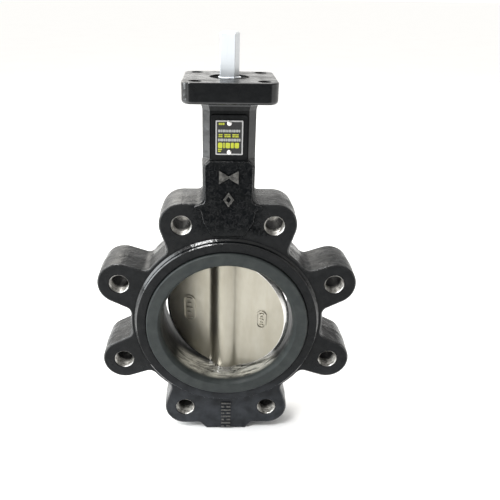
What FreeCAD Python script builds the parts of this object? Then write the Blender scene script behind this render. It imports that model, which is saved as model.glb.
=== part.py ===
"""Lug-type butterfly valve, DN100 PN16, with a resilient seat and a bare square stem.

Millimetres. The origin is the centre of the bore, +Z runs up the stem, and the flow runs along Y, with the
nameplate on the -Y side. The disc stands 18 degrees open.
"""
import FreeCAD, Part

import os
from math import cos, radians, sin, sqrt, tan

V = FreeCAD.Vector
SHARP_CORNERS = 2
CENTRE = V(0, 0, 0)
X_AXIS = V(1, 0, 0)
Y_AXIS = V(0, 1, 0)
Z_AXIS = V(0, 0, 1)

# Pipe joint: what the valve has to match on the line.
FACE_TO_FACE = 52.0
BOLT_CIRCLE_RADIUS = 90.0
LUG_COUNT = 8
LUG_HOLE_RADIUS = 8.0

# Body casting.
LUG_THICKNESS = 37.5
LUG_RADIUS = 17.0
LUG_FLANK_SPREAD = 4.0
BARREL_RADIUS = 76.0
LUG_ROOT_FILLET = 6.0
DRAFT = 0.7
EDGE_ROUND = 1.2
RIM_INNER_RADIUS = 64.2
RIM_OUTER_RADIUS = 71.5
RIM_FOOT_RADIUS = 73.6
RIM_HEIGHT = 48.0
BORE_RADIUS = 60.0
SEAT_POCKET_DEPTH = 4.5
FOOT_Z = -106.0
FOOT_HALF_WIDTH = 16.7
FOOT_ROOT_HALF_WIDTH = 22.3

# Neck and top flange (four holes on a 65 mm circle).
NECK_HALF_WIDTH = 18.75
NECK_SHOULDER_Z = 129.0
NECK_FACET_Z = 133.3
NECK_FACET_X = 13.6
NECK_FACET_Y = 12.0
NECK_FRONT = 17.0
WEB_RISE = 1.3
WEB_TOP_Z = 132.3
MARK_RISE = 1.1
TOP_Z = 187.5
TOP_THICKNESS = 14.4
TOP_WIDTH = 64.5
TOP_DEPTH = 61.0
TOP_CORNER = 7.0
TOP_HOLE_SPACING = 46.0
TOP_HOLE_RADIUS = 4.5

# Nameplate pad.
PAD_HALF_WIDTH = 12.6
PAD_BOTTOM_Z = 131.0
PAD_TOP_Z = 164.5
PAD_FRONT = 18.3
PLATE_HALF_WIDTH = 9.5
PLATE_BOTTOM_Z = 136.8
PLATE_TOP_Z = 160.8
PLATE_THICKNESS = 0.6
RIVET_HEIGHTS = {"nameplate_rivet_lower": 138.7, "nameplate_rivet_upper": 158.9}
RIVET_SHANK_RADIUS = 1.0
RIVET_HEAD_RADIUS = 1.7
RIVET_HEAD_HEIGHT = 1.0
RIVET_DEPTH = 4.0

# Seat.
SEAT_BORE_RADIUS = 52.0
SEAT_MOUTH_RADIUS = 54.5
SEAT_MOUTH_DEPTH = 7.0
SEAT_LIP_RADIUS = 63.4
BACKING_INNER_RADIUS = 56.0
BACKING_HALF_WIDTH = 17.0
SEAT_PAD_Z = 50.0
SEAT_PAD_RADIUS = 15.0

# Disc.
DISC_RADIUS = 51.8
DISC_HUB_RADIUS = 11.5
DISC_HUB_Z = 49.8
DISC_HUB_FILLET = 6.0
DISC_RIM_HALF_THICKNESS = 3.4
DISC_ROOT_HALF_THICKNESS = 5.2
DISC_BEVEL_RADIUS = 49.2
DISC_EDGE_HALF_THICKNESS = 1.7
REST_ANGLE = -18.0

# Stem, and the bores that it runs in.
STEM_RADIUS = 7.95
STEM_TOP_Z = 217.0
STEM_SQUARE = 11.0
STEM_SQUARE_Z = 187.5
JOURNAL_RADIUS = 6.2
JOURNAL_TOP_Z = -49.5
JOURNAL_BOTTOM_Z = -93.0
DRIVE_TOP_Z = -6.0
DRIVE_HALF_FLAT = 6.2
RUNNING_CLEARANCE = 0.05
NECK_BORE_RADIUS = 11.0
LOWER_BORE_RADIUS = 9.0
LOWER_BORE_Z = -91.6
PAD_POCKET_RADIUS = 6.6
PAD_POCKET_Z = -96.5
HEAD_BORE_RADIUS = 14.0
HEAD_BORE_Z = 182.5
CLIP_GROOVE_RADIUS = 15.0
CLIP_BOTTOM_Z = 184.9
CLIP_THICKNESS = 1.2
RETAINER_BOTTOM_Z = 182.8
RETAINER_THICKNESS = 1.8
STEM_GROOVE_RADIUS = 6.6
PACKING_BOTTOM_Z = 144.0
PACKING_PITCH = 3.0
PACKING_COUNT = 3
LOWER_NECK_BUSH = (62.0, 92.0)
MIDDLE_NECK_BUSH_Z = 118.0
UPPER_NECK_BUSH_TOP_Z = 177.5
WIPER_Z = 180.8
FOOT_BUSH = (-88.0, -62.0)
NECK_SEAL_SECTION_RADIUS = 1.35
FOOT_SEAL_SECTION_RADIUS = 1.2


def xz(x, z, y=0.0):
    return V(x, y, z)


def tube(inner, outer, bottom, top):
    """Ring about the stem's axis."""
    shell = Part.makeCylinder(outer, top - bottom, V(0, 0, bottom))
    return shell.cut(Part.makeCylinder(inner, top - bottom + 2, V(0, 0, bottom - 1)))


def o_ring(inner, section_radius, z):
    ring = Part.makeTorus(inner + section_radius, section_radius, V(0, 0, z))
    return Part.Solid(ring) if ring.ShapeType != "Solid" else ring


def turned(points, axis=Y_AXIS):
    """Solid turned about an axis from (radius, height along the axis) points."""
    corners = [X_AXIS * radius + axis * height for radius, height in points]
    face = Part.Face(Part.makePolygon(corners + corners[:1]))
    return face.revolve(CENTRE, axis, 360)


def rounded_wire(corners):
    """Closed wire in the XZ plane through (x, z, radius) corners, each rounded to its radius."""
    count = len(corners)
    pairs = []
    arcs = []
    for i, (x, z, radius) in enumerate(corners):
        here = xz(x, z)
        before = (xz(*corners[i - 1][:2]) - here).normalize()
        after = (xz(*corners[(i + 1) % count][:2]) - here).normalize()
        if radius == 0:
            pairs.append((here, here))
            arcs.append(None)
            continue
        half = before.getAngle(after) / 2
        reach = radius / tan(half)
        start = here + before * reach
        end = here + after * reach
        bisector = (before + after).normalize()
        middle = here + bisector * (radius / sin(half) - radius)
        pairs.append((start, end))
        arcs.append(Part.Arc(start, middle, end).toShape())
    edges = []
    for i in range(count):
        if arcs[i]:
            edges.append(arcs[i])
        start = pairs[i][1]
        end = pairs[(i + 1) % count][0]
        if start.distanceToPoint(end) > 1e-6:
            edges.append(Part.makeLine(start, end))
    return Part.Wire(edges)


def plate(corners, front, back):
    """Flat piece with a rounded outline, from y = front to y = back."""
    face = Part.Face(rounded_wire(corners))
    face.translate(V(0, front, 0))
    return face.extrude(V(0, back - front, 0))


def straight_edges(solid, direction, wanted):
    """Straight edges along a direction whose first point passes the test."""
    found = []
    for edge in solid.Edges:
        if not isinstance(edge.Curve, Part.Line):
            continue
        run = edge.Vertexes[-1].Point - edge.Vertexes[0].Point
        if run.cross(direction).Length < 1e-6 * run.Length and wanted(edge.Vertexes[0].Point):
            found.append(edge)
    return found


# --- Body casting -------------------------------------------------------------------------------

def lug_angles():
    step = 360.0 / LUG_COUNT
    return [step * (i + 0.5) for i in range(LUG_COUNT)]


def lug_profile(angle):
    """Round lobe about one bolt hole, with flanks that spread towards the barrel."""
    spread = radians(LUG_FLANK_SPREAD)
    root_z = BARREL_RADIUS - 20
    tangent_x = LUG_RADIUS * cos(spread)
    tangent_z = BOLT_CIRCLE_RADIUS + LUG_RADIUS * sin(spread)
    root_x = tangent_x + (tangent_z - root_z) * tan(spread)
    crown = xz(0, BOLT_CIRCLE_RADIUS + LUG_RADIUS)
    left = xz(-tangent_x, tangent_z)
    right = xz(tangent_x, tangent_z)
    outline = Part.Wire([
        Part.Arc(left, crown, right).toShape(),
        Part.makeLine(right, xz(root_x, root_z)),
        Part.makeLine(xz(root_x, root_z), xz(-root_x, root_z)),
        Part.makeLine(xz(-root_x, root_z), left),
    ])
    face = Part.Face(outline)
    face.rotate(CENTRE, Y_AXIS, angle)
    return face


def body_outline():
    """Outline of the casting at the lug faces: barrel, lugs, shoulder, base, foot and neck."""
    depth = V(0, LUG_THICKNESS / 2, 0)
    half_step = radians(180.0 / LUG_COUNT)
    lug_x = BOLT_CIRCLE_RADIUS * sin(half_step)
    shoulder_z = BOLT_CIRCLE_RADIUS * cos(half_step) + LUG_RADIUS
    inside_z = BARREL_RADIUS - 20
    neck_top = NECK_SHOULDER_Z - 1

    pieces = [Part.makeCylinder(BARREL_RADIUS, LUG_THICKNESS / 2, CENTRE, Y_AXIS)]
    pieces += [lug_profile(angle).extrude(depth) for angle in lug_angles()]
    blocks = [
        [(-lug_x, inside_z), (-lug_x, shoulder_z), (lug_x, shoulder_z), (lug_x, inside_z)],
        [(-lug_x, -inside_z), (-lug_x, -shoulder_z), (lug_x, -shoulder_z), (lug_x, -inside_z)],
        [(-NECK_HALF_WIDTH, inside_z), (-NECK_HALF_WIDTH, neck_top), (NECK_HALF_WIDTH, neck_top),
         (NECK_HALF_WIDTH, inside_z)],
        [(-FOOT_ROOT_HALF_WIDTH, -inside_z), (-FOOT_ROOT_HALF_WIDTH, -shoulder_z), (-FOOT_HALF_WIDTH, FOOT_Z),
         (FOOT_HALF_WIDTH, FOOT_Z), (FOOT_ROOT_HALF_WIDTH, -shoulder_z), (FOOT_ROOT_HALF_WIDTH, -inside_z)],
    ]
    for block in blocks:
        corners = [xz(x, z) for x, z in block]
        pieces.append(Part.Face(Part.makePolygon(corners + corners[:1])).extrude(depth))
    solid = pieces[0].multiFuse(pieces[1:]).removeSplitter()

    def at_lug_root(p):
        return abs(xz(p.x, p.z).Length - BARREL_RADIUS) < 0.1

    def at_neck_root(p):
        return abs(abs(p.x) - NECK_HALF_WIDTH) < 0.1 and abs(p.z - shoulder_z) < 0.1

    def at_foot_root(p):
        return abs(abs(p.x) - FOOT_ROOT_HALF_WIDTH) < 0.1 and abs(p.z + shoulder_z) < 0.1

    def at_foot_corner(p):
        return abs(p.z - FOOT_Z) < 0.1

    for radius, wanted in ((LUG_ROOT_FILLET, at_lug_root), (5.0, at_neck_root), (3.0, at_foot_root),
                           (1.8, at_foot_corner)):
        solid = solid.makeFillet(radius, straight_edges(solid, Y_AXIS, wanted))
    ends = [face for face in solid.Faces if face.BoundBox.YLength < 1e-6]
    return min(ends, key=lambda face: abs(face.CenterOfMass.y)).OuterWire


def drafted_casting():
    """The outline at full thickness: widest at the parting plane, with rounded front and rear edges."""
    outline = body_outline()
    half = LUG_THICKNESS / 2
    sections = [(0.0, DRAFT), (half - EDGE_ROUND, 0.0), (half - 0.3 * EDGE_ROUND, -0.3 * EDGE_ROUND),
                (half, -EDGE_ROUND)]
    sections = [(-y, offset) for y, offset in reversed(sections[1:])] + sections
    wires = []
    for y, offset in sections:
        wire = outline.makeOffset2D(offset, SHARP_CORNERS) if offset else outline.copy()
        wire.translate(V(0, y, 0))
        wires.append(wire)
    return Part.makeLoft(wires, True, True)


def raised_rim():
    """Turned rim round the seat, proud of the lug faces on both sides, with a sloping foot."""
    half = RIM_HEIGHT / 2
    foot = LUG_THICKNESS / 2
    return turned([
        (BORE_RADIUS, -half), (RIM_OUTER_RADIUS - 0.8, -half), (RIM_OUTER_RADIUS, -half + 0.8),
        (RIM_OUTER_RADIUS, -foot - 1.6), (RIM_FOOT_RADIUS, -foot + 0.5), (RIM_FOOT_RADIUS, foot - 0.5),
        (RIM_OUTER_RADIUS, foot + 1.6), (RIM_OUTER_RADIUS, half - 0.8), (RIM_OUTER_RADIUS - 0.8, half),
        (BORE_RADIUS, half),
    ])


def neck_section(z, half_width, front, facet_x, facet_y):
    """Eight-sided section of the neck at one height."""
    quarter = [(half_width, facet_y), (facet_x, front)]
    right = [(x, -y) for x, y in reversed(quarter)] + quarter
    loop = right + [(-x, -y) for x, y in right]
    corners = [V(x, y, z) for x, y in loop]
    return Part.makePolygon(corners + corners[:1])


def neck():
    """Square below, with facets on its corners above, flaring into the top flange."""
    square = NECK_HALF_WIDTH - 0.15
    flange_z = TOP_Z - TOP_THICKNESS
    sections = [
        neck_section(BARREL_RADIUS - 14, square, square, square - 1, square - 1),
        neck_section(NECK_SHOULDER_Z, square, square, square - 1, square - 1),
        neck_section(NECK_FACET_Z, NECK_HALF_WIDTH, NECK_FRONT, NECK_FACET_X, NECK_FACET_Y),
    ]
    for drop, flare in ((6.0, 0.0), (3.0, 0.7), (1.0, 2.0), (-1.0, 4.5)):
        sections.append(neck_section(flange_z - drop, NECK_HALF_WIDTH + flare, NECK_FRONT + flare,
                                     NECK_FACET_X + 0.6 * flare, NECK_FACET_Y + 0.6 * flare))
    return Part.makeLoft(sections, True, True)


def top_flange():
    slab = Part.makeBox(TOP_WIDTH, TOP_DEPTH, TOP_THICKNESS,
                        V(-TOP_WIDTH / 2, -TOP_DEPTH / 2, TOP_Z - TOP_THICKNESS))
    slab = slab.makeFillet(TOP_CORNER, straight_edges(slab, Z_AXIS, lambda p: True))
    for z, radius in ((TOP_Z - TOP_THICKNESS, 2.4), (TOP_Z, 0.9)):
        level = [edge for edge in slab.Edges if edge.BoundBox.ZLength < 1e-6]
        rim = [edge for edge in level if abs(edge.BoundBox.ZMin - z) < 1e-6]
        slab = slab.makeFillet(radius, rim)
    return slab


def raised_web():
    """Rough raised face that carries the neck down between the two top lugs, on both sides of the casting."""
    half_width = NECK_HALF_WIDTH - 1.5
    right = [(NECK_FACET_X, WEB_TOP_Z, 0.8), (half_width, NECK_SHOULDER_Z, 1.5), (half_width, 101, 3),
             (29, 97.5, 1.2), (20, 96, 4), (18.5, 86, 8), (12, 75, 3)]
    corners = right + [(-x, z, radius) for x, z, radius in reversed(right)]
    front = LUG_THICKNESS / 2 + WEB_RISE
    web = plate(corners, -front, front)
    faces = [face for face in web.Faces if abs(abs(face.CenterOfMass.y) - front) < 1e-6]
    return web.makeChamfer(0.4 * WEB_RISE, [edge for face in faces for edge in face.Edges])


def cast_mark(corners, base, rise):
    """Low raised mark on the front, from just under the surface at y = -base to rise above it."""
    return plate([(x, z, 0.0) for x, z in corners], -base - rise, -base + 0.5)


def bar(x, z, half_width, half_height, base, rise):
    corners = [(x - half_width, z - half_height), (x + half_width, z - half_height),
               (x + half_width, z + half_height), (x - half_width, z + half_height)]
    return cast_mark(corners, base, rise)


def valve_symbol(z, reach, half_height, waist, base):
    """Two triangles that meet at a narrow waist."""
    halves = []
    for side in (-1, 1):
        halves.append(cast_mark([(side * reach, z + half_height), (0, z + waist), (0, z - waist),
                                 (side * reach, z - half_height)], base, MARK_RISE))
    return halves


def hollow_diamond(z, half_width, half_height, base):
    inside = 0.48
    outer = cast_mark([(0, z + half_height), (half_width, z), (0, z - half_height), (-half_width, z)],
                      base, MARK_RISE)
    w = inside * half_width
    h = inside * half_height
    return outer.cut(cast_mark([(0, z + h), (w, z), (0, z - h), (-w, z)], base - 1, MARK_RISE + 2))


def cast_marks():
    """Generic foundry marks: a valve symbol and a diamond on the neck, and plain bars on both webs."""
    face = LUG_THICKNESS / 2
    marks = valve_symbol(120.8, 7.0, 5.0, 0.7, face + WEB_RISE)
    marks.append(hollow_diamond(104.2, 3.9, 5.6, face + WEB_RISE))
    for i in range(6):
        half_height = 2.4 if i % 3 == 0 else 1.5
        marks.append(bar(13.5 + 3.2 * i, 81.0 - 0.9 * i, 0.7, half_height, face, MARK_RISE))
    for i in range(8):
        z = -79.0 - 3.45 * i
        if i % 2 == 0:
            marks.append(bar(0, z, 4.0, 0.75, face, MARK_RISE))
        else:
            marks.append(bar(-2.6, z, 1.3, 0.75, face, MARK_RISE))
            marks.append(bar(2.2, z, 1.7, 0.75, face, MARK_RISE))
    return marks


def lug_hole(angle):
    """Hole straight through one lug; the thread's major radius."""
    start = xz(0, BOLT_CIRCLE_RADIUS, -LUG_THICKNESS)
    hole = Part.makeCylinder(LUG_HOLE_RADIUS, 2 * LUG_THICKNESS, start, Y_AXIS)
    hole.rotate(CENTRE, Y_AXIS, angle)
    return hole


def rivet_hole(z):
    return Part.makeCylinder(RIVET_SHANK_RADIUS, RIVET_DEPTH + 1, V(0, -PAD_FRONT - 1, z), Y_AXIS)


def body():
    casting = drafted_casting()
    pad = plate([(-PAD_HALF_WIDTH, PAD_BOTTOM_Z, 1.5), (PAD_HALF_WIDTH, PAD_BOTTOM_Z, 1.5),
                 (PAD_HALF_WIDTH, PAD_TOP_Z, 1.5), (-PAD_HALF_WIDTH, PAD_TOP_Z, 1.5)], -PAD_FRONT, 0)
    casting = casting.multiFuse([neck(), top_flange(), raised_rim(), raised_web(), pad] + cast_marks())

    pocket_floor = RIM_HEIGHT / 2 - SEAT_POCKET_DEPTH
    seat_room = turned([
        (0, -RIM_HEIGHT), (RIM_INNER_RADIUS, -RIM_HEIGHT), (RIM_INNER_RADIUS, -pocket_floor),
        (BORE_RADIUS, -pocket_floor), (BORE_RADIUS, pocket_floor), (RIM_INNER_RADIUS, pocket_floor),
        (RIM_INNER_RADIUS, RIM_HEIGHT), (0, RIM_HEIGHT),
    ])
    cuts = [seat_room]
    cuts += [lug_hole(angle) for angle in lug_angles()]
    cuts += [rivet_hole(z) for z in RIVET_HEIGHTS.values()]
    below_foot = V(-2 * LUG_RADIUS, -2 * LUG_RADIUS, FOOT_Z - LUG_RADIUS)
    cuts.append(Part.makeBox(4 * LUG_RADIUS, 4 * LUG_RADIUS, LUG_RADIUS, below_foot))
    cuts.append(Part.makeCylinder(NECK_BORE_RADIUS, HEAD_BORE_Z + 1))
    cuts.append(Part.makeCylinder(HEAD_BORE_RADIUS, TOP_Z - HEAD_BORE_Z + 1, V(0, 0, HEAD_BORE_Z)))
    cuts.append(Part.makeCylinder(CLIP_GROOVE_RADIUS, CLIP_THICKNESS, V(0, 0, CLIP_BOTTOM_Z)))
    cuts.append(Part.makeCylinder(LOWER_BORE_RADIUS, -LOWER_BORE_Z, V(0, 0, LOWER_BORE_Z)))
    cuts.append(Part.makeCylinder(PAD_POCKET_RADIUS, -PAD_POCKET_Z, V(0, 0, PAD_POCKET_Z)))
    for x in (-0.5, 0.5):
        for y in (-0.5, 0.5):
            corner = V(x * TOP_HOLE_SPACING, y * TOP_HOLE_SPACING, TOP_Z - TOP_THICKNESS - 1)
            cuts.append(Part.makeCylinder(TOP_HOLE_RADIUS, TOP_THICKNESS + 2, corner))
    return casting.cut(cuts).removeSplitter()


# --- Seat ---------------------------------------------------------------------------------------

def stem_holes(clearance):
    """Holes for the stem above and for its thinner journal below."""
    return [
        Part.makeCylinder(STEM_RADIUS + clearance, BARREL_RADIUS, CENTRE, Z_AXIS),
        Part.makeCylinder(JOURNAL_RADIUS + clearance, BARREL_RADIUS, CENTRE, V(0, 0, -1)),
    ]


def seat_backing_ring():
    """Hard ring bonded behind the rubber of the seat."""
    half = BACKING_HALF_WIDTH
    ring = turned([(BACKING_INNER_RADIUS, -half), (BORE_RADIUS, -half), (BORE_RADIUS, half),
                   (BACKING_INNER_RADIUS, half)])
    return ring.cut(stem_holes(0.6))


def seat_liner():
    """Moulded rubber seat: bore, bell mouths, sealing lips over the body, and flats for the disc's hub."""
    face = FACE_TO_FACE / 2
    pocket_floor = RIM_HEIGHT / 2 - SEAT_POCKET_DEPTH
    mouth = face - SEAT_MOUTH_DEPTH
    middle_r = SEAT_BORE_RADIUS + 0.3 * (SEAT_MOUTH_RADIUS - SEAT_BORE_RADIUS)
    middle_y = mouth + 0.7 * SEAT_MOUTH_DEPTH
    lip_bevel = 0.8

    def point(radius, y):
        return V(radius, y, 0)

    def side(sign):
        bell = Part.Arc(point(SEAT_BORE_RADIUS, sign * mouth), point(middle_r, sign * middle_y),
                        point(SEAT_MOUTH_RADIUS, sign * face)).toShape()
        corners = [(SEAT_MOUTH_RADIUS, face), (SEAT_LIP_RADIUS - lip_bevel, face),
                   (SEAT_LIP_RADIUS, face - lip_bevel), (SEAT_LIP_RADIUS, pocket_floor),
                   (BORE_RADIUS, pocket_floor), (BORE_RADIUS, BACKING_HALF_WIDTH),
                   (BACKING_INNER_RADIUS, BACKING_HALF_WIDTH)]
        lines = []
        for (r1, y1), (r2, y2) in zip(corners, corners[1:]):
            lines.append(Part.makeLine(point(r1, sign * y1), point(r2, sign * y2)))
        return [bell] + lines

    edges = side(-1) + side(1)
    edges.append(Part.makeLine(point(BACKING_INNER_RADIUS, -BACKING_HALF_WIDTH),
                               point(BACKING_INNER_RADIUS, BACKING_HALF_WIDTH)))
    edges.append(Part.makeLine(point(SEAT_BORE_RADIUS, -mouth), point(SEAT_BORE_RADIUS, mouth)))
    liner = Part.Face(Part.Wire(Part.__sortEdges__(edges))).revolve(CENTRE, Y_AXIS, 360)
    behind_rubber = sqrt(BACKING_INNER_RADIUS ** 2 - SEAT_PAD_RADIUS ** 2) - 0.3
    flats = []
    for sign in (-1, 1):
        flats.append(Part.makeCylinder(SEAT_PAD_RADIUS, behind_rubber - SEAT_PAD_Z, V(0, 0, sign * SEAT_PAD_Z),
                                       V(0, 0, sign)))
    return liner.multiFuse(flats).removeSplitter().cut(stem_holes(RUNNING_CLEARANCE))


# --- Disc and stem, drawn with the disc shut ----------------------------------------------------

def at_rest(shape):
    shape.rotate(CENTRE, Z_AXIS, REST_ANGLE)
    return shape


def drive_shape(radius, half_flat, bottom, top):
    """Round with two flats."""
    blank = Part.makeCylinder(radius, top - bottom, V(0, 0, bottom))
    return blank.common(Part.makeBox(4 * radius, 2 * half_flat, top - bottom, V(-2 * radius, -half_flat, bottom)))


def disc_wings():
    """Plate that thins towards its left and right edges, over the full height."""
    edge = DISC_RADIUS + 1
    loop = [(-edge, -DISC_RIM_HALF_THICKNESS), (0, -DISC_ROOT_HALF_THICKNESS), (edge, -DISC_RIM_HALF_THICKNESS),
            (edge, DISC_RIM_HALF_THICKNESS), (0, DISC_ROOT_HALF_THICKNESS), (-edge, DISC_RIM_HALF_THICKNESS)]
    corners = [V(x, y, -edge) for x, y in loop]
    return Part.Face(Part.makePolygon(corners + corners[:1])).extrude(V(0, 0, 2 * edge))


def cartouche(x, half_width, half_height):
    """Raised oval frame on the disc's front with plain ticks inside it."""
    wall = 0.9
    front = DISC_ROOT_HALF_THICKNESS + 0.1
    back = DISC_RIM_HALF_THICKNESS - 1.0

    def oval(w, h):
        return [(x - w, -h, w - 0.01), (x + w, -h, w - 0.01), (x + w, h, w - 0.01), (x - w, h, w - 0.01)]

    frame = plate(oval(half_width, half_height), -front, -back)
    frame = frame.cut(plate(oval(half_width - wall, half_height - wall), -front - 1, -back + 1))
    pieces = [frame]
    step = (half_height - 3.0) / 2
    for i in range(-2, 3):
        reach = (half_width - 2.4) * (1.0 if i % 2 == 0 else 0.6)
        z = i * step
        pieces.append(plate([(x - reach, z - 0.45, 0), (x + reach, z - 0.45, 0), (x + reach, z + 0.45, 0),
                             (x - reach, z + 0.45, 0)], -front + 0.15, -back))
    return pieces


def disc():
    reach = DISC_RADIUS + 1
    hub = Part.makeCylinder(DISC_HUB_RADIUS, 2 * reach, V(0, 0, -reach))
    plain = disc_wings().fuse(hub).removeSplitter()
    roots = straight_edges(plain, Z_AXIS, lambda p: abs(p.x) < DISC_HUB_RADIUS + 1 and abs(p.x) > 1)
    plain = plain.makeFillet(DISC_HUB_FILLET, roots)
    for piece in cartouche(-30.8, 5.1, 11.9) + cartouche(30.6, 4.0, 8.0):
        plain = plain.fuse(piece)

    thick = 3 * DISC_HUB_RADIUS
    bevel_slope = (DISC_RIM_HALF_THICKNESS - DISC_EDGE_HALF_THICKNESS + 0.2) / (DISC_RADIUS - DISC_BEVEL_RADIUS)
    bevel_top = DISC_EDGE_HALF_THICKNESS + bevel_slope * (DISC_RADIUS - DISC_BEVEL_RADIUS)
    envelope = turned([
        (0, -thick), (DISC_BEVEL_RADIUS, -thick), (DISC_BEVEL_RADIUS, -bevel_top),
        (DISC_RADIUS, -DISC_EDGE_HALF_THICKNESS), (DISC_RADIUS, DISC_EDGE_HALF_THICKNESS),
        (DISC_BEVEL_RADIUS, bevel_top), (DISC_BEVEL_RADIUS, thick), (0, thick),
    ])
    hub_room = Part.makeCylinder(DISC_HUB_RADIUS, 2 * reach, V(0, 0, -reach))
    shaped = plain.common(envelope.fuse(hub_room))
    shaped = shaped.common(Part.makeSphere(DISC_RADIUS))
    hub_height = Part.makeBox(4 * reach, 4 * reach, 2 * DISC_HUB_Z, V(-2 * reach, -2 * reach, -DISC_HUB_Z))
    shaped = shaped.common(hub_height)
    slack = RUNNING_CLEARANCE
    shaped = shaped.cut([
        Part.makeCylinder(STEM_RADIUS + slack, reach - DRIVE_TOP_Z, V(0, 0, DRIVE_TOP_Z)),
        drive_shape(STEM_RADIUS + slack, DRIVE_HALF_FLAT + slack, -reach, DRIVE_TOP_Z),
    ])
    return at_rest(shaped.removeSplitter())


def stem():
    """One-piece stem: square head, round shaft, two flats inside the disc, and a thinner foot journal."""
    shaft = Part.makeCylinder(STEM_RADIUS, STEM_SQUARE_Z - DRIVE_TOP_Z, V(0, 0, DRIVE_TOP_Z))
    flats = drive_shape(STEM_RADIUS, DRIVE_HALF_FLAT, JOURNAL_TOP_Z, DRIVE_TOP_Z)
    journal = Part.makeCylinder(JOURNAL_RADIUS, JOURNAL_TOP_Z - JOURNAL_BOTTOM_Z, V(0, 0, JOURNAL_BOTTOM_Z))
    journal = journal.makeChamfer(0.8, [edge for edge in journal.Edges
                                        if edge.BoundBox.ZMax < JOURNAL_BOTTOM_Z + 0.1])
    half = STEM_SQUARE / 2
    head = Part.makeBox(STEM_SQUARE, STEM_SQUARE, STEM_TOP_Z - STEM_SQUARE_Z, V(-half, -half, STEM_SQUARE_Z))
    head = head.makeChamfer(0.9, [edge for edge in head.Edges if edge.BoundBox.ZMin > STEM_TOP_Z - 0.1])
    head = head.makeChamfer(0.35, straight_edges(head, Z_AXIS, lambda p: True))
    groove = tube(STEM_GROOVE_RADIUS, STEM_RADIUS + 1, RETAINER_BOTTOM_Z - 0.3,
                  RETAINER_BOTTOM_Z + RETAINER_THICKNESS + 0.3)
    return at_rest(shaft.multiFuse([flats, journal, head]).removeSplitter().cut(groove))


# --- Pieces round the stem ----------------------------------------------------------------------

def running(radius):
    return radius + RUNNING_CLEARANCE


def packing_rings():
    """Chevron rings of the stem packing, one above the other."""
    rings = []
    inner = running(STEM_RADIUS)
    middle = (inner + NECK_BORE_RADIUS) / 2
    for i in range(PACKING_COUNT):
        z = PACKING_BOTTOM_Z + i * PACKING_PITCH
        lip = 1.2
        rings.append(turned([(inner, z), (middle, z + lip), (NECK_BORE_RADIUS, z), (NECK_BORE_RADIUS, z + 1.6),
                             (middle, z + 1.6 + lip), (inner, z + 1.6)], Z_AXIS))
    return Part.makeCompound(rings)


def packing_support():
    """Base ring with a pointed top that spreads the packing."""
    inner = running(STEM_RADIUS)
    middle = (inner + NECK_BORE_RADIUS) / 2
    z = PACKING_BOTTOM_Z
    return turned([(inner, z - 2.0), (NECK_BORE_RADIUS, z - 2.0), (NECK_BORE_RADIUS, z - 0.2), (middle, z + 1.0),
                   (inner, z - 0.2)], Z_AXIS)


def bush(inner, outer, bottom, top):
    """Plain bearing with a lead-in at each end of its bore."""
    lead = 0.6
    return turned([(inner + lead, bottom), (outer, bottom), (outer, top), (inner + lead, top),
                   (inner, top - lead), (inner, bottom + lead)], Z_AXIS)


def stem_retainer(side):
    """Half washer that sits in the stem's groove; the two halves hold the stem down."""
    outer = 12.6
    gap = 0.3
    ring = tube(STEM_GROOVE_RADIUS + 0.1, outer, RETAINER_BOTTOM_Z, RETAINER_BOTTOM_Z + RETAINER_THICKNESS)
    half = Part.makeBox(outer + 1, 2 * outer + 2, RETAINER_THICKNESS + 2, V(gap, -outer - 1, RETAINER_BOTTOM_Z - 1))
    if side < 0:
        half.rotate(CENTRE, Z_AXIS, 180)
    return ring.common(half)


def retaining_circlip():
    """Internal snap ring in the head bore's groove, with an eye at each end for pliers."""
    top = CLIP_BOTTOM_Z + CLIP_THICKNESS
    outer = CLIP_GROOVE_RADIUS - 0.2
    ring = tube(12.1, outer, CLIP_BOTTOM_Z, top)
    gap_half = 4.0
    gap = Part.makeBox(2 * gap_half, 2 * outer, CLIP_THICKNESS + 2, V(-gap_half, 0, CLIP_BOTTOM_Z - 1))
    ring = ring.cut(gap)
    for side in (-1, 1):
        eye = V(side * (gap_half + 1.2), 11.2, CLIP_BOTTOM_Z)
        ring = ring.fuse(Part.makeCylinder(1.9, CLIP_THICKNESS, eye))
        ring = ring.cut(Part.makeCylinder(0.8, CLIP_THICKNESS + 2, eye - V(0, 0, 1)))
    return ring.removeSplitter()


# --- Nameplate ----------------------------------------------------------------------------------

def nameplate():
    w = PLATE_HALF_WIDTH
    sheet = plate([(-w, PLATE_BOTTOM_Z, 0.6), (w, PLATE_BOTTOM_Z, 0.6), (w, PLATE_TOP_Z, 0.6),
                   (-w, PLATE_TOP_Z, 0.6)], -PAD_FRONT - PLATE_THICKNESS, -PAD_FRONT)
    return sheet.cut([rivet_hole(z) for z in RIVET_HEIGHTS.values()])


def nameplate_rivet(z):
    """Round-headed drive rivet."""
    head = PAD_FRONT + PLATE_THICKNESS
    dome = turned([(0, -head - RIVET_HEAD_HEIGHT), (0.5 * RIVET_HEAD_RADIUS, -head - 0.9 * RIVET_HEAD_HEIGHT),
                   (0.85 * RIVET_HEAD_RADIUS, -head - 0.55 * RIVET_HEAD_HEIGHT), (RIVET_HEAD_RADIUS, -head),
                   (RIVET_SHANK_RADIUS, -head), (RIVET_SHANK_RADIUS, -PAD_FRONT + RIVET_DEPTH - 0.2),
                   (0, -PAD_FRONT + RIVET_DEPTH - 0.2)])
    dome.translate(V(0, 0, z))
    return dome


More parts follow.
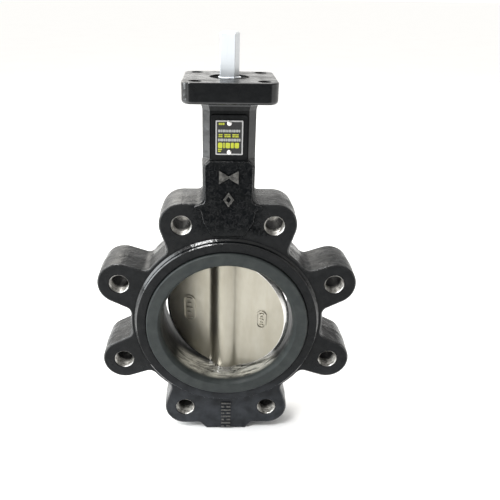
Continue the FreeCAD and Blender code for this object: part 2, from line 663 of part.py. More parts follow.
def parts():
    upper = running(STEM_RADIUS)
    lower = running(JOURNAL_RADIUS)
    packing_top = PACKING_BOTTOM_Z + PACKING_COUNT * PACKING_PITCH
    pieces = {
        "body": body(),
        "seat_backing_ring": seat_backing_ring(),
        "seat_liner": seat_liner(),
        "disc": disc(),
        "stem": stem(),
        "lower_neck_bush": bush(upper, NECK_BORE_RADIUS, *LOWER_NECK_BUSH),
        "lower_neck_o_ring": o_ring(upper + 0.05, NECK_SEAL_SECTION_RADIUS, LOWER_NECK_BUSH[1] + 2.0),
        "middle_neck_bush": bush(upper, NECK_BORE_RADIUS, MIDDLE_NECK_BUSH_Z, PACKING_BOTTOM_Z - 2.0),
        "packing_support_ring": packing_support(),
        "packing_rings": packing_rings(),
        "packing_follower": bush(upper, NECK_BORE_RADIUS, packing_top + 1.0, packing_top + 4.0),
        "upper_neck_bush": bush(upper, NECK_BORE_RADIUS, packing_top + 4.0, UPPER_NECK_BUSH_TOP_Z),
        "upper_neck_o_ring": o_ring(upper + 0.05, NECK_SEAL_SECTION_RADIUS, UPPER_NECK_BUSH_TOP_Z + 1.7),
        "stem_wiper_seal": tube(upper, NECK_BORE_RADIUS, WIPER_Z, HEAD_BORE_Z),
        "stem_retainer_left": stem_retainer(-1),
        "stem_retainer_right": stem_retainer(1),
        "retaining_circlip": retaining_circlip(),
        "foot_bush": bush(lower, LOWER_BORE_RADIUS, *FOOT_BUSH),
        "foot_o_ring": o_ring(lower + 0.05, FOOT_SEAL_SECTION_RADIUS, FOOT_BUSH[0] - 1.8),
        "foot_thrust_pad": Part.makeCylinder(PAD_POCKET_RADIUS, JOURNAL_BOTTOM_Z - PAD_POCKET_Z - 0.1,
                                             V(0, 0, PAD_POCKET_Z)),
        "nameplate": nameplate(),
    }
    for name, z in RIVET_HEIGHTS.items():
        pieces[name] = nameplate_rivet(z)
    return pieces


os.makedirs("parts", exist_ok=True)
for name, shape in parts().items():
    shape.exportStep(os.path.join("parts", name + ".step"))
    print(name, shape.isValid(), len(shape.Solids), round(shape.Volume, 1))
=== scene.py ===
"""Looks of a lug-type butterfly valve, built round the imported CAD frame.

Metres, +Z up, nameplate on the -Y side.
"""
from math import cos, radians, sin, tau

import bmesh
import bpy
from mathutils import Matrix, Vector


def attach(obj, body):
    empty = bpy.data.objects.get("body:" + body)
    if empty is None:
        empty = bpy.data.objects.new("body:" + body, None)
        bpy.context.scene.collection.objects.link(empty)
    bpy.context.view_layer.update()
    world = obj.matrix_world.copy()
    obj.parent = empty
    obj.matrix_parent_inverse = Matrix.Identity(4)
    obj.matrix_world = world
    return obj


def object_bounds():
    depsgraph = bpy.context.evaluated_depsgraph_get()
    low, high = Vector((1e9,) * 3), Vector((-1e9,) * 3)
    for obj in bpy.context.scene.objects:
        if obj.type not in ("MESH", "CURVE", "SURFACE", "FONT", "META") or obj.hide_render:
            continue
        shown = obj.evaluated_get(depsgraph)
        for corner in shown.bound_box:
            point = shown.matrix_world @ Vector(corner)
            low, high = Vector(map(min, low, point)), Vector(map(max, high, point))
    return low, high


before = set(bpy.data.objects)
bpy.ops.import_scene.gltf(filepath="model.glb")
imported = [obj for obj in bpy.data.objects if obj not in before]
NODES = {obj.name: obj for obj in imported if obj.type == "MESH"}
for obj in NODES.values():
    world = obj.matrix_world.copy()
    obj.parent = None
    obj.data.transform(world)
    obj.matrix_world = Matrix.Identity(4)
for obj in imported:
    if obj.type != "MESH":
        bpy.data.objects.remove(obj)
CAD_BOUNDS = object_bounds()
MM = 0.001

BODY = "valve_body"


# --- Shader helper --------------------------------------------------------------------------------------------

class Shader:
    """Adds nodes to one material. A number sets a socket, and a socket is linked to it."""

    def __init__(self, name):
        self.material = bpy.data.materials.new(name)
        self.material.use_nodes = True
        self.tree = self.material.node_tree
        self.tree.nodes.clear()
        self.output = self.tree.nodes.new("ShaderNodeOutputMaterial")
        self.place = self.node("ShaderNodeTexCoord").outputs["Object"]

    def node(self, kind, inputs=None, **settings):
        made = self.tree.nodes.new(kind)
        for key, value in settings.items():
            setattr(made, key, value)
        for key, value in (inputs or {}).items():
            self.feed(made.inputs[key], value)
        return made

    def feed(self, socket, value):
        if isinstance(value, bpy.types.NodeSocket):
            self.tree.links.new(value, socket)
        else:
            socket.default_value = value

    def math(self, operation, a, b=0.0, c=0.0, clamp=False):
        return self.node("ShaderNodeMath", {0: a, 1: b, 2: c}, operation=operation, use_clamp=clamp).outputs[0]

    def axis(self, letter):
        return self.node("ShaderNodeSeparateXYZ", {0: self.place}).outputs[letter]

    def stretched(self, x=1.0, y=1.0, z=1.0):
        """Object coordinates scaled by axis, so that a texture runs long the other way."""
        return self.node("ShaderNodeMapping", {"Vector": self.place, "Scale": (x, y, z)}).outputs[0]

    def noise(self, scale, detail=3.0, roughness=0.5, vector=None, distortion=0.0):
        inputs = {"Vector": vector or self.place, "Scale": scale, "Detail": detail, "Roughness": roughness,
                  "Distortion": distortion}
        return self.node("ShaderNodeTexNoise", inputs).outputs[0]

    def cells(self, scale, vector=None):
        inputs = {"Vector": vector or self.place, "Scale": scale}
        return self.node("ShaderNodeTexVoronoi", inputs).outputs["Distance"]

    def span(self, value, low, high, to_low=0.0, to_high=1.0, smooth=False):
        """Value taken from low..high to to_low..to_high."""
        inputs = {"Value": value, "From Min": low, "From Max": high, "To Min": to_low, "To Max": to_high}
        kind = "SMOOTHSTEP" if smooth else "LINEAR"
        return self.node("ShaderNodeMapRange", inputs, interpolation_type=kind, clamp=True).outputs[0]

    def mix(self, factor, a, b):
        made = self.node("ShaderNodeMix", data_type="RGBA")
        self.feed(made.inputs[0], factor)
        self.feed(made.inputs[6], a)
        self.feed(made.inputs[7], b)
        return made.outputs[2]

    def total(self, *terms):
        """Sum of (socket, metres) heights."""
        result = None
        for socket, metres in terms:
            term = self.math("MULTIPLY", socket, metres)
            result = term if result is None else self.math("ADD", result, term)
        return result

    def bump(self, height, strength=1.0, round_edges=0.0):
        """Bumped normal, over sharp edges shaded round to a radius in metres."""
        inputs = {"Height": height, "Distance": 1.0, "Strength": strength}
        if round_edges:
            inputs["Normal"] = self.node("ShaderNodeBevel", {"Radius": round_edges}, samples=4).outputs[0]
        return self.node("ShaderNodeBump", inputs).outputs[0]

    def finish(self, **sockets):
        """Principled shader from named sockets, with spaces written as underscores."""
        inputs = {key.replace("_", " "): value for key, value in sockets.items()}
        surface = self.node("ShaderNodeBsdfPrincipled", inputs)
        self.tree.links.new(surface.outputs[0], self.output.inputs[0])
        return self.material


def grey(value, warm=0.0):
    return (value * (1 + warm), value, value * (1 - warm), 1.0)


# --- Materials ------------------------------------------------------------------------------------------------

def raised_marks(s, width, y, z):
    """Tops of the symbol and diamond on the neck, and of the bars on the foot."""
    upper = s.math("MULTIPLY", s.span(width, 0.0095, 0.0085), s.span(z, 0.094, 0.096))
    upper = s.math("MULTIPLY", upper, s.span(z, 0.129, 0.127))
    upper = s.math("MULTIPLY", upper, s.span(y, -0.0203, -0.0207))
    lower = s.math("MULTIPLY", s.span(width, 0.0065, 0.0055), s.span(z, -0.0760, -0.0765))
    lower = s.math("MULTIPLY", lower, s.span(y, -0.0190, -0.0194))
    return s.math("MAXIMUM", upper, lower)


class EnamelMasks:
    """Where the casting is rough, pitted or rubbed, where its raised marks are lightened as wear and painted
    highlight, and where it turns lighter towards the bottom, each from 0 to 1.
    """

    def __init__(self, s):
        z = s.axis("Z")
        width = s.math("ABSOLUTE", s.axis("X"))
        normal = s.node("ShaderNodeTexCoord").outputs["Normal"]
        facing = s.node("ShaderNodeSeparateXYZ", {0: normal}).outputs["Y"]
        turning = s.math("ABSOLUTE", facing)
        self.side = s.span(turning, 0.85, 0.45, smooth=True)
        self.sand = s.math("MULTIPLY", self.side, s.span(z, 0.172, 0.165))
        web = s.math("MULTIPLY", s.span(width, 0.034, 0.016, smooth=True), s.span(z, 0.072, 0.084, smooth=True))
        self.web = s.math("MULTIPLY", web, s.span(z, 0.136, 0.128, smooth=True))
        rounded = s.span(turning, 0.15, 0.40, smooth=True)
        self.handled = s.math("MULTIPLY", rounded, s.span(turning, 0.985, 0.93, smooth=True))
        self.low = s.span(z, -0.030, -0.090, smooth=True)
        self.marks = raised_marks(s, width, s.axis("Y"), z)


def enamel_colour(s, masks, lumps):
    """Near black, with thin spots, dust, a lighter bluish grey towards the bottom, and raised marks lightened
    partly as worn iron and partly as painted highlight.
    """
    dust = s.span(s.noise(70, 5, 0.65), 0.52, 0.75)
    thin = s.span(s.noise(600, 4, 0.7), 0.66, 0.78)
    colour = s.mix(s.math("MULTIPLY", dust, 0.35), (0.0024, 0.0030, 0.0036, 1), (0.009, 0.0095, 0.009, 1))
    colour = s.mix(s.math("MULTIPLY", thin, 0.25), colour, (0.035, 0.034, 0.032, 1))
    # Lighter, bluish grey towards the bottom, patchy with the lumps.
    lower_lightening = s.math("MULTIPLY", masks.low, s.span(lumps, 0.30, 0.65, 0.35, 1.0))
    colour = s.mix(lower_lightening, colour, (0.030, 0.033, 0.038, 1))
    # The tops of the raised marks are lightened towards grey iron: partly wear, partly a painted highlight that
    # stands in for their glints.
    worn_and_highlit = s.span(s.noise(500, 4, 0.7), 0.40, 0.62, 0.3, 1.0)
    return s.mix(s.math("MULTIPLY", masks.marks, worn_and_highlit), colour, (0.115, 0.112, 0.105, 1))


def enamel_gloss(s, masks, dents, rough_cast):
    """Reflection dimmed in hollows by ambient occlusion as painted shade, duller in pits, streaked on the side
    walls, and polished on rounded edges.
    """
    # Ambient occlusion lowers the specular level in hollows and crevices: painted shade.
    painted_hollow_shade = s.node("ShaderNodeAmbientOcclusion", {"Distance": 0.004}, samples=6).outputs["AO"]
    gloss = s.math("MULTIPLY", s.span(painted_hollow_shade, 0.45, 0.95, 0.03, 0.15), s.span(dents, 0.35, 0.65, 0.82, 1.15))
    pits = s.span(rough_cast, 0.42, 0.62, -0.85, 0.15)
    gloss = s.math("MULTIPLY", gloss, s.math("MULTIPLY_ADD", pits, masks.web, 1.0))
    streaks = s.span(s.noise(150, 4, 0.6, vector=s.stretched(0.3, 1.5, 1.0)), 0.38, 0.62, -0.22, 0.28)
    gloss = s.math("MULTIPLY", gloss, s.math("MULTIPLY_ADD", streaks, masks.side, 1.0))
    return s.math("MULTIPLY_ADD", s.math("MULTIPLY", masks.handled, painted_hollow_shade), 0.55, gloss)


def enamel():
    """Black enamel over a sand casting: rough side walls, a pitted web, orange peel and runs."""
    s = Shader("black_enamel")
    masks = EnamelMasks(s)
    lumps = s.noise(95, 3, 0.55, distortion=0.4)
    peel = s.noise(330, 3, 0.5)
    grain = s.noise(1300, 2, 0.6)
    runs = s.noise(80, 2, 0.5, vector=s.stretched(3.0, 3.0, 0.5))
    rough_cast = s.noise(420, 4, 0.7, distortion=1.2)
    dents = s.noise(190, 4, 0.65, distortion=0.8)
    height = s.total((lumps, 0.00038), (peel, 0.00009), (grain, 0.000018), (runs, 0.00018),
                     (s.math("MULTIPLY", rough_cast, masks.web), 0.00050),
                     (s.math("MULTIPLY", dents, masks.sand), 0.00045))
    patches = s.math("MULTIPLY", s.span(s.noise(75, 4, 0.6), 0.45, 0.60), s.math("MULTIPLY", masks.side, 0.16))
    roughness = s.math("ADD", s.span(s.noise(260, 4, 0.6), 0.3, 0.75, 0.16, 0.28), patches)
    roughness = s.math("MULTIPLY_ADD", masks.handled, -0.08, roughness)
    return s.finish(Base_Color=enamel_colour(s, masks, lumps), Roughness=roughness, IOR=1.5,
                    Specular_IOR_Level=enamel_gloss(s, masks, dents, rough_cast),
                    Normal=s.bump(height, round_edges=0.0006))


def seat_rubber():
    """Moulded rubber: a dull grey-green bloom on the faces, a bore darkened as painted shade, and along the
    bore's bottom a painted reflection in bright streaks, over an oil film that gives a glossier coat.
    """
    s = Shader("seat_rubber")
    y = s.axis("Y")
    z = s.axis("Z")
    bore = s.span(s.math("ABSOLUTE", y), 0.0225, 0.0175, smooth=True)
    oil_gloss_and_painted_sheen = s.math("MULTIPLY", s.span(z, -0.030, -0.042, smooth=True), bore)
    oil_gloss_and_painted_sheen = s.math("MULTIPLY", oil_gloss_and_painted_sheen, s.span(y, 0.004, -0.004, smooth=True))
    oil_gloss_and_painted_sheen = s.math("MULTIPLY", oil_gloss_and_painted_sheen, s.span(s.noise(150, 3, 0.6), 0.30, 0.48, 0.55, 1.0))
    fine = s.noise(1500, 2, 0.6)
    soft = s.noise(120, 4, 0.6)
    streak = s.noise(60, 3, 0.6, vector=s.stretched(1.0, 6.0, 1.0))
    bloom = s.span(soft, 0.35, 0.7)
    face = s.mix(bloom, (0.016, 0.020, 0.020, 1), (0.028, 0.033, 0.032, 1))
    painted_sheen_streaks = s.span(s.noise(90, 5, 0.7, vector=s.stretched(0.6, 3.0, 1.0), distortion=0.8), 0.36, 0.56)
    # Inside the bore the rubber is darkened to near black as painted shade.
    colour = s.mix(bore, face, (0.0055, 0.0060, 0.0058, 1))
    # Bright warm grey streaks along the bore's bottom are a painted reflection; the same mask also gives that
    # strip a glossier oil coat.
    colour = s.mix(s.math("MULTIPLY", s.math("MULTIPLY", oil_gloss_and_painted_sheen, painted_sheen_streaks), 0.9), colour, (0.46, 0.45, 0.39, 1))
    roughness = s.math("ADD", s.span(streak, 0.3, 0.7, 0.44, 0.58), s.math("MULTIPLY", oil_gloss_and_painted_sheen, -0.25))
    height = s.total((fine, 0.00001), (soft, 0.00007))
    return s.finish(Base_Color=colour, Roughness=roughness, IOR=1.45, Specular_IOR_Level=0.3, Coat_Weight=oil_gloss_and_painted_sheen,
                    Coat_Roughness=0.09, Coat_IOR=2.4, Normal=s.bump(height, round_edges=0.0005))


def seal_rubber():
    s = Shader("seal_rubber")
    fine = s.noise(2200, 3, 0.6)
    colour = s.mix(s.span(s.noise(300), 0.4, 0.7), grey(0.012), grey(0.024))
    return s.finish(Base_Color=colour, Roughness=s.span(fine, 0.3, 0.7, 0.45, 0.6), IOR=1.52,
                    Normal=s.bump(s.total((fine, 0.00001))))


def phenolic():
    """Brown moulded resin with pale filler specks."""
    s = Shader("phenolic")
    specks = s.span(s.cells(900), 0.18, 0.05)
    cloud = s.mix(s.noise(140, 4), (0.055, 0.026, 0.012, 1), (0.11, 0.055, 0.026, 1))
    colour = s.mix(s.math("MULTIPLY", specks, 0.5), cloud, (0.30, 0.20, 0.12, 1))
    return s.finish(Base_Color=colour, Roughness=s.span(s.noise(500), 0.3, 0.7, 0.35, 0.5),
                    Normal=s.bump(s.total((specks, 0.00002))))


def ptfe():
    """White turned plastic with faint tool rings."""
    s = Shader("ptfe")
    rings = s.noise(1400, 2, 0.5, vector=s.stretched(0.05, 0.05, 1.0))
    colour = s.mix(s.noise(180, 3), (0.78, 0.78, 0.74, 1), (0.86, 0.86, 0.83, 1))
    return s.finish(Base_Color=colour, Roughness=s.span(rings, 0.3, 0.7, 0.35, 0.5), IOR=1.38,
                    Normal=s.bump(s.total((rings, 0.00001))))


def bronze():
    """Turned bearing bronze."""
    s = Shader("bush_bronze")
    rings = s.noise(1600, 2, 0.5, vector=s.stretched(0.05, 0.05, 1.0))
    colour = s.mix(s.noise(220, 4), (0.52, 0.30, 0.12, 1), (0.68, 0.45, 0.20, 1))
    return s.finish(Base_Color=colour, Metallic=1.0, Roughness=s.span(rings, 0.3, 0.7, 0.22, 0.42),
                    Normal=s.bump(s.total((rings, 0.000012))))


def disc_steel():
    """Blasted stainless casting, with the rim and the hub's ends turned bright."""
    s = Shader("disc_stainless")
    radius = s.node("ShaderNodeVectorMath", {0: s.place}, operation="LENGTH").outputs["Value"]
    turned = s.span(radius, 0.0489, 0.0492)
    blast = s.noise(2600, 3, 0.6)
    cast = s.noise(170, 4, 0.55)
    stain = s.noise(48, 4, 0.6, vector=s.stretched(1.0, 1.0, 0.35))
    streaks = s.noise(260, 3, 0.6, vector=s.stretched(1.0, 1.0, 0.08))
    satin = s.mix(s.span(stain, 0.35, 0.7), (0.28, 0.262, 0.214, 1), (0.36, 0.342, 0.290, 1))
    satin = s.mix(s.math("MULTIPLY", s.span(streaks, 0.5, 0.75), 0.3), satin, (0.29, 0.265, 0.205, 1))
    colour = s.mix(turned, satin, (0.72, 0.71, 0.69, 1))
    roughness = s.math("ADD", s.span(cast, 0.3, 0.7, 0.33, 0.42), s.math("MULTIPLY", turned, -0.20))
    unturned = s.math("SUBTRACT", 1.0, turned)
    blast = s.math("MULTIPLY", blast, unturned)
    height = s.total((blast, 0.000005), (s.math("MULTIPLY", cast, unturned), 0.00005))
    return s.finish(Base_Color=colour, Metallic=1.0, Roughness=roughness,
                    Normal=s.bump(height, round_edges=0.0004))


def stem_steel():
    """Ground shaft and milled square: fine marks across, with a few scratches."""
    s = Shader("stem_steel")
    marks = s.noise(900, 3, 0.7, vector=s.stretched(0.12, 0.12, 1.6))
    scuffs = s.span(s.noise(240, 5, 0.7, vector=s.stretched(1.0, 1.0, 0.12)), 0.56, 0.72)
    colour = s.mix(s.math("MULTIPLY", scuffs, 0.5), (0.62, 0.645, 0.67, 1), (0.50, 0.52, 0.545, 1))
    roughness = s.math("ADD", s.span(marks, 0.3, 0.7, 0.28, 0.42), s.math("MULTIPLY", scuffs, 0.12))
    return s.finish(Base_Color=colour, Metallic=1.0, Roughness=roughness,
                    Normal=s.bump(s.total((marks, 0.000008), (scuffs, -0.000006)), round_edges=0.0004))


def cut_metal():
    """Tapped iron in the lug holes: a clean ring at each mouth, greyer threads, and a middle darkened to near
    black as painted shade.
    """
    s = Shader("tapped_iron")
    depth = s.math("ABSOLUTE", s.axis("Y"))
    chatter = s.noise(1800, 3, 0.6)
    threads = s.mix(s.span(s.noise(420, 4), 0.35, 0.7), (0.16, 0.155, 0.142, 1), (0.60, 0.585, 0.55, 1))
    # Deep in the hole the threads are darkened to near black as painted shade; the noise makes its edge ragged.
    painted_shade_depth = s.math("MULTIPLY_ADD", s.noise(250, 3, 0.6), 0.006, depth)
    colour = s.mix(s.span(painted_shade_depth, 0.0100, 0.0165, smooth=True), (0.012, 0.012, 0.012, 1), threads)
    colour = s.mix(s.span(depth, 0.0177, 0.0179), colour, (0.70, 0.69, 0.66, 1))
    colour = s.mix(s.span(depth, 0.0182, 0.0184), colour, (0.030, 0.030, 0.030, 1))
    return s.finish(Base_Color=colour, Metallic=1.0, Roughness=s.span(chatter, 0.3, 0.7, 0.30, 0.46),
                    Normal=s.bump(s.total((chatter, 0.00001))))


def plated_steel(name, low, high, rough):
    s = Shader(name)
    fine = s.noise(1100, 3, 0.6)
    colour = s.mix(s.noise(300, 4), grey(low, 0.03), grey(high, 0.02))
    return s.finish(Base_Color=colour, Metallic=1.0, Roughness=s.span(fine, 0.3, 0.7, rough, rough + 0.15),
                    Normal=s.bump(s.total((fine, 0.00001))))


def brushed_aluminium():
    """Nameplate stock, brushed from side to side."""
    s = Shader("nameplate_aluminium")
    lines = s.noise(2600, 3, 0.7, vector=s.stretched(0.04, 1.0, 1.0))
    colour = s.mix(lines, grey(0.34), grey(0.52))
    return s.finish(Base_Color=colour, Metallic=1.0, Roughness=s.span(lines, 0.3, 0.7, 0.28, 0.45),
                    Normal=s.bump(s.total((lines, 0.000006))))


def ink(name, colour, worn_and_highlit):
    """Printed ink, a little uneven and rubbed."""
    s = Shader(name)
    patches = s.span(s.noise(900, 4, 0.7), 0.5, 0.72)
    return s.finish(Base_Color=s.mix(s.math("MULTIPLY", patches, worn_and_highlit), colour, grey(0.25)),
                    Roughness=s.span(s.noise(700), 0.3, 0.7, 0.28, 0.42),
                    Normal=s.bump(s.total((s.noise(1500), 0.000006))))


def dress(name, material):
    mesh = NODES[name].data
    mesh.materials.clear()
    mesh.materials.append(material)


def dress_nodes():
    rubber = seal_rubber()
    brass = bronze()
    white = ptfe()
    zinc = plated_steel("oiled_steel", 0.10, 0.20, 0.32)
    bright = plated_steel("rivet_bright", 0.82, 0.92, 0.38)
    looks = {
        "body": enamel(), "seat_liner": seat_rubber(), "seat_backing_ring": phenolic(), "disc": disc_steel(),
        "stem": stem_steel(), "retaining_circlip": plated_steel("phosphate", 0.06, 0.12, 0.4),
        "nameplate": brushed_aluminium(),
        "nameplate_rivet_lower": bright, "nameplate_rivet_upper": bright,
        "stem_retainer_left": zinc, "stem_retainer_right": zinc,
    }
    looks.update({name: brass for name in NODES if name.endswith("_bush") or name == "packing_follower"})
    looks.update({name: rubber for name in NODES if "o_ring" in name or "wiper" in name})
    looks.update({name: white for name in NODES
                  if name in ("packing_rings", "packing_support_ring", "foot_thrust_pad")})
    for name, material in looks.items():
        dress(name, material)


# --- Pieces made here -----------------------------------------------------------------------------------------

def mesh_piece(name, vertices, faces, material, smooth=True):
    mesh = bpy.data.meshes.new(name)
    mesh.from_pydata([tuple(v) for v in vertices], [], faces)
    shape = bmesh.new()
    shape.from_mesh(mesh)
    bmesh.ops.remove_doubles(shape, verts=shape.verts, dist=1e-6)
    bmesh.ops.recalc_face_normals(shape, faces=shape.faces)
    shape.to_mesh(mesh)
    shape.free()
    mesh.materials.append(material)
    mesh.polygons.foreach_set("use_smooth", [smooth] * len(mesh.polygons))
    piece = bpy.data.objects.new(name, mesh)
    bpy.context.scene.collection.objects.link(piece)
    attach(piece, BODY)
    return piece


LUG_COUNT = 8
BOLT_CIRCLE = 90.0 * MM
LUG_HALF = 18.75 * MM
THREAD_PITCH = 2.0 * MM
THREAD_CREST = 6.92 * MM
THREAD_ROOT = 7.75 * MM
THREAD_MOUTH = 7.90 * MM
MOUTH_SLOPE = 0.9
SLEEVE_OUTSIDE = 7.96 * MM
THREAD_STEPS = 40
THREAD_PROFILE = ((0.0, 1.0), (0.30, 0.0), (0.55, 0.0), (0.85, 1.0))


def thread_ring(turn, index):
    """(y, radius) of helical line number index at a share of a turn.

    The chamfers at both mouths close it off.
    """
    share, depth = THREAD_PROFILE[index % len(THREAD_PROFILE)]
    y = -LUG_HALF + THREAD_PITCH * (index // len(THREAD_PROFILE) + share + turn - 1.0)
    y = min(max(y, -LUG_HALF), LUG_HALF)
    bevel = THREAD_MOUTH - max(0.0, LUG_HALF - abs(y)) * MOUTH_SLOPE
    return y, max(THREAD_CREST + depth * (THREAD_ROOT - THREAD_CREST), bevel)


def thread_sleeve(number, material):
    """Tapped wall of one lug hole: a helical thread with a bevelled mouth at each end."""
    angle = radians(360.0 / LUG_COUNT * (number - 0.5))
    centre = Vector((BOLT_CIRCLE * sin(angle), 0, BOLT_CIRCLE * cos(angle)))
    lines = len(THREAD_PROFILE)
    rings = lines * (int(2 * LUG_HALF / THREAD_PITCH) + 3)
    vertices = []
    for index in range(rings):
        for step in range(THREAD_STEPS + 1):
            turn = step / THREAD_STEPS
            y, radius = thread_ring(turn, index)
            vertices.append(centre + Vector((radius * cos(tau * turn), y, radius * sin(tau * turn))))
    row = THREAD_STEPS + 1
    faces = []
    for index in range(rings - 1):
        for step in range(THREAD_STEPS):
            here = index * row + step
            faces.append((here, here + 1, here + row + 1, here + row))
    outside = len(vertices)
    for y in (-LUG_HALF, LUG_HALF):
        for step in range(row):
            turn = step / THREAD_STEPS
            vertices.append(centre + Vector((SLEEVE_OUTSIDE * cos(tau * turn), y,
                                             SLEEVE_OUTSIDE * sin(tau * turn))))
    last = (rings - 1) * row
    for step in range(THREAD_STEPS):
        front = outside + step
        back = outside + row + step
        faces.append((step, front, front + 1, step + 1))
        faces.append((front, back, back + 1, front + 1))
        faces.append((last + step, last + step + 1, back + 1, back))
    piece = mesh_piece(f"lug_thread_{number}", vertices, faces, material)
    for polygon in piece.data.polygons:
        polygon.use_smooth = False
    return piece


PLATE_WIDTH = 19.0 * MM
PLATE_HEIGHT = 24.0 * MM
PLATE_TOP = 160.8 * MM
PLATE_FRONT = -18.9 * MM
PRINT_THICKNESS = 0.04 * MM
FIELD_THICKNESS = 0.03 * MM


def printed_blocks(name, blocks, back, thickness, material, corner=0.18):
    """Flat printed blocks, given as left, right, top and bottom shares of the nameplate, with cut corners."""
    vertices = []
    faces = []
    for left, right, top, bottom in blocks:
        x0 = (left - 0.5) * PLATE_WIDTH
        x1 = (right - 0.5) * PLATE_WIDTH
        z0 = PLATE_TOP - bottom * PLATE_HEIGHT
        z1 = PLATE_TOP - top * PLATE_HEIGHT
        cut = corner * min(x1 - x0, z1 - z0)
        outline = [(x0 + cut, z0), (x1 - cut, z0), (x1, z0 + cut), (x1, z1 - cut), (x1 - cut, z1),
                   (x0 + cut, z1), (x0, z1 - cut), (x0, z0 + cut)]
        base = len(vertices)
        count = len(outline)
        vertices += [(x, back, z) for x, z in outline]
        vertices += [(x, back - thickness, z) for x, z in outline]
        faces.append(tuple(base + i for i in range(count)))
        faces.append(tuple(base + count + i for i in range(count)))
        faces += [(base + i, base + (i + 1) % count, base + count + (i + 1) % count, base + count + i)
                  for i in range(count)]
    return mesh_piece(name, vertices, faces, material, smooth=False)


def row_of_blocks(left, right, top, bottom, widths, gap=0.012):
    """Blocks of the given relative widths that fill one row from left to right."""
    room = right - left - gap * (len(widths) - 1)
    unit = room / sum(widths)
    blocks = []
    at = left
    for width in widths:
        blocks.append((at, at + width * unit, top, bottom))
        at += width * unit + gap
    return blocks


def add_nameplate_print():
    """Black field with generic bars in place of lettering."""
    black = ink("ink_black", (0.004, 0.004, 0.0045, 1), 0.06)
    yellow = ink("ink_yellow", (0.38, 0.41, 0.010, 1), 0.35)
    pale = ink("ink_pale", (0.28, 0.29, 0.28, 1), 0.5)
    printed_blocks("nameplate_field", [(0.045, 0.955, 0.036, 0.964)], PLATE_FRONT, FIELD_THICKNESS, black, 0.02)
    surface = PLATE_FRONT - FIELD_THICKNESS
    rows = row_of_blocks(0.11, 0.32, 0.065, 0.125, (2, 1, 2))
    for left, right in ((0.11, 0.25), (0.32, 0.545), (0.61, 0.84)):
        rows += row_of_blocks(left, right, 0.39, 0.425, (3, 2))
        rows += row_of_blocks(left, right, 0.445, 0.48, (2, 3))
    rows += row_of_blocks(0.09, 0.86, 0.64, 0.80, (3, 1, 3, 2, 3), 0.03)
    rows += row_of_blocks(0.09, 0.23, 0.82, 0.855, (1, 1))
    rows += row_of_blocks(0.09, 0.20, 0.875, 0.91, (1,))
    printed_blocks("nameplate_print_yellow", rows, surface, PRINT_THICKNESS, yellow)
    rows = row_of_blocks(0.09, 0.89, 0.26, 0.335, (2, 1, 2, 1, 1, 2, 1, 2, 2, 1))
    rows += row_of_blocks(0.09, 0.91, 0.52, 0.60, (1, 2, 1, 1, 2, 1, 2, 1, 1))
    printed_blocks("nameplate_print_pale", rows, surface, PRINT_THICKNESS, pale)


def add_pieces():
    metal = cut_metal()
    for number in range(1, LUG_COUNT + 1):
        thread_sleeve(number, metal)
    add_nameplate_print()


# --- Camera, floor and light ----------------------------------------------------------------------------------

CAMERA_AT = (-0.0073, -0.41024, 0.24122)
CAMERA_YAW = radians(1.888)
CAMERA_PITCH = radians(23.431)
CAMERA_ROLL = radians(1.054)
CAMERA_LENS = 41.2
CAMERA_SHIFT = (0.029, -0.019)


def add_camera():
    forward = Vector((sin(CAMERA_YAW) * cos(CAMERA_PITCH), cos(CAMERA_YAW) * cos(CAMERA_PITCH),
                      -sin(CAMERA_PITCH)))
    level = Vector((cos(CAMERA_YAW), -sin(CAMERA_YAW), 0))
    upright = level.cross(forward)
    right = level * cos(CAMERA_ROLL) + upright * sin(CAMERA_ROLL)
    up = upright * cos(CAMERA_ROLL) - level * sin(CAMERA_ROLL)
    data = bpy.data.cameras.new("camera")
    data.sensor_width = 36.0
    data.lens = CAMERA_LENS
    data.shift_x, data.shift_y = CAMERA_SHIFT
    data.clip_start = 0.01
    camera = bpy.data.objects.new("camera", data)
    camera.matrix_world = Matrix.Translation(CAMERA_AT) @ Matrix((right, up, -forward)).transposed().to_4x4()
    bpy.context.scene.collection.objects.link(camera)
    bpy.context.scene.camera = camera


FLOOR_HALF_SIZE = 40.0


def add_floor():
    """Plain pale sheet that the valve stands on."""
    size = FLOOR_HALF_SIZE
    low = CAD_BOUNDS[0][2]
    mesh = bpy.data.meshes.new("floor")
    mesh.from_pydata([(-size, -size, low), (size, -size, low), (size, size, low), (-size, size, low)], [],
                     [(0, 1, 2, 3)])
    s = Shader("pale_floor")
    pale = s.mix(s.noise(6, 2), (0.90, 0.90, 0.90, 1), (0.93, 0.93, 0.93, 1))
    mesh.materials.append(s.finish(Base_Color=pale, Roughness=0.9, Specular_IOR_Level=0.0))
    floor = bpy.data.objects.new("floor", mesh)
    bpy.context.scene.collection.objects.link(floor)


def add_light(name, at, aim, width, height, power, colour=(1, 1, 1)):
    data = bpy.data.lights.new(name, "AREA")
    data.shape = "RECTANGLE"
    data.size = width
    data.size_y = height
    data.energy = power
    data.color = colour
    lamp = bpy.data.objects.new(name, data)
    lamp.location = at
    lamp.rotation_euler = (Vector(aim) - Vector(at)).to_track_quat("-Z", "Y").to_euler()
    bpy.context.scene.collection.objects.link(lamp)


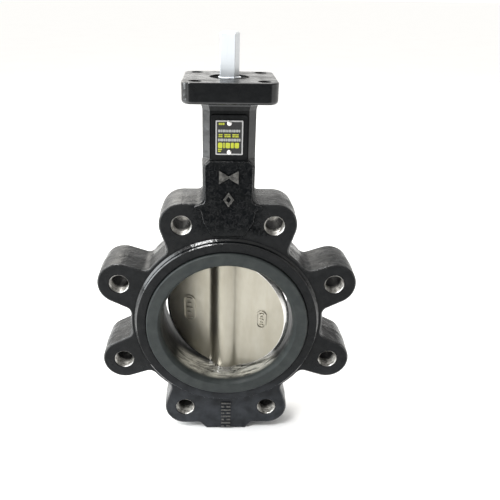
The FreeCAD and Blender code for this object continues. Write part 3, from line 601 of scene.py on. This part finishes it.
def add_world():
    """Soft studio walls: brightest behind the valve and to its left, softer in front and to its right."""
    world = bpy.data.worlds.new("studio")
    world.use_nodes = True
    bpy.context.scene.world = world
    tree = world.node_tree
    tree.nodes.clear()
    place = tree.nodes.new("ShaderNodeTexCoord")
    parts = tree.nodes.new("ShaderNodeSeparateXYZ")
    tree.links.new(place.outputs["Generated"], parts.inputs[0])

    def ramp(axis, low, high, to_low, to_high):
        made = tree.nodes.new("ShaderNodeMapRange")
        made.interpolation_type = "SMOOTHSTEP"
        tree.links.new(parts.outputs[axis], made.inputs["Value"])
        for key, value in (("From Min", low), ("From Max", high), ("To Min", to_low), ("To Max", to_high)):
            made.inputs[key].default_value = value
        return made.outputs[0]

    def times(a, b):
        made = tree.nodes.new("ShaderNodeMath")
        made.operation = "MULTIPLY"
        tree.links.new(a, made.inputs[0])
        tree.links.new(b, made.inputs[1])
        return made.outputs[0]

    level = times(ramp("Y", -0.60, 0.60, 0.50, 1.50), ramp("X", -0.50, 0.60, 1.45, 0.68))
    shade = tree.nodes.new("ShaderNodeBackground")
    shade.inputs["Color"].default_value = (1.0, 0.99, 0.965, 1)
    tree.links.new(level, shade.inputs["Strength"])
    out = tree.nodes.new("ShaderNodeOutputWorld")
    tree.links.new(shade.outputs[0], out.inputs[0])


def add_studio():
    bpy.context.scene.view_settings.view_transform = "Standard"
    add_camera()
    add_floor()
    add_world()
    add_light("overhead", (-0.25, 0.35, 1.1), (0, 0, 0.05), 1.2, 0.9, 5)
    add_light("back_left", (-0.60, 1.0, 0.70), (0, 0, 0.08), 1.1, 0.6, 7, (1.0, 0.97, 0.90))
    add_light("left", (-1.0, -0.10, 0.40), (0, 0, 0.05), 0.7, 0.8, 11, (0.92, 0.97, 1.0))
    add_light("front_left", (-0.85, -1.05, 0.12), (0, 0, 0.15), 0.55, 0.75, 1.0, (0.90, 0.96, 1.0))
    add_light("key", (-0.40, -0.55, 0.95), (0, 0, 0.05), 0.34, 0.34, 9)


dress_nodes()
add_pieces()
add_studio()
